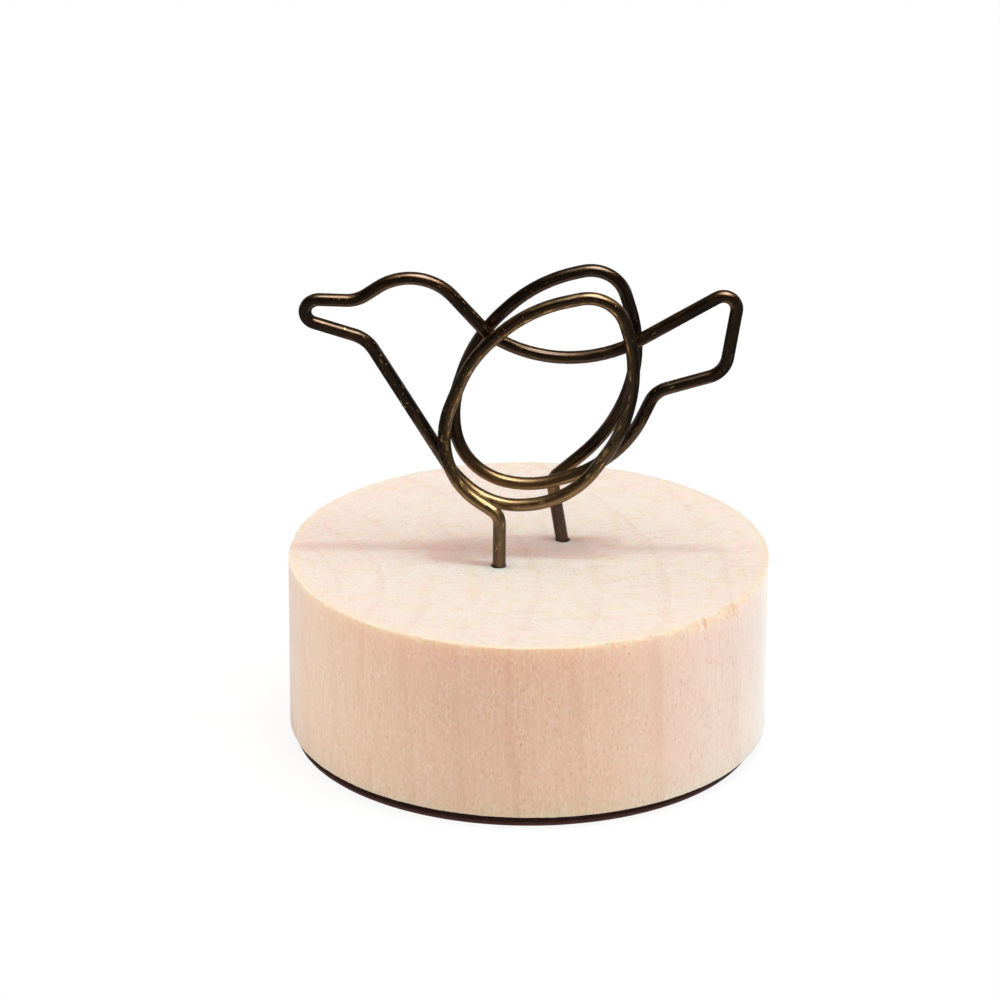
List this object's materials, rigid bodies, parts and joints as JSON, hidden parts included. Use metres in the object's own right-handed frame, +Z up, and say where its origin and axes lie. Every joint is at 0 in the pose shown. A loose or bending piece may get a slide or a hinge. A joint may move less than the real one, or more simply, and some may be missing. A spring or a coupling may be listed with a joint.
{
  "type": "memo clip holder",
  "caption": "Round wooden block with a bird bent from one length of wire, whose overlapping body rings grip a memo card.",
  "frame": {"origin": "middle of the face that the object stands on", "axes": "+Z up; the bird lies in the XZ plane with its beak towards -X; -Y is the side it is seen from"},
  "size_m": [0.04, 0.04, 0.0409],
  "materials": {
    "pale_wood": "bare sanded beech-like wood, fine end grain on top, straight fibres on the side",
    "aged_brass": "dark antique patina with gold rubbed spots and fine scratches",
    "dark_foam": "matt dark brown non-slip foam"
  },
  "bodies": {
    "root": {"wooden_base": "pale_wood", "wire_bird": "aged_brass", "base_pad": "dark_foam"}
  },
  "joints": []
}
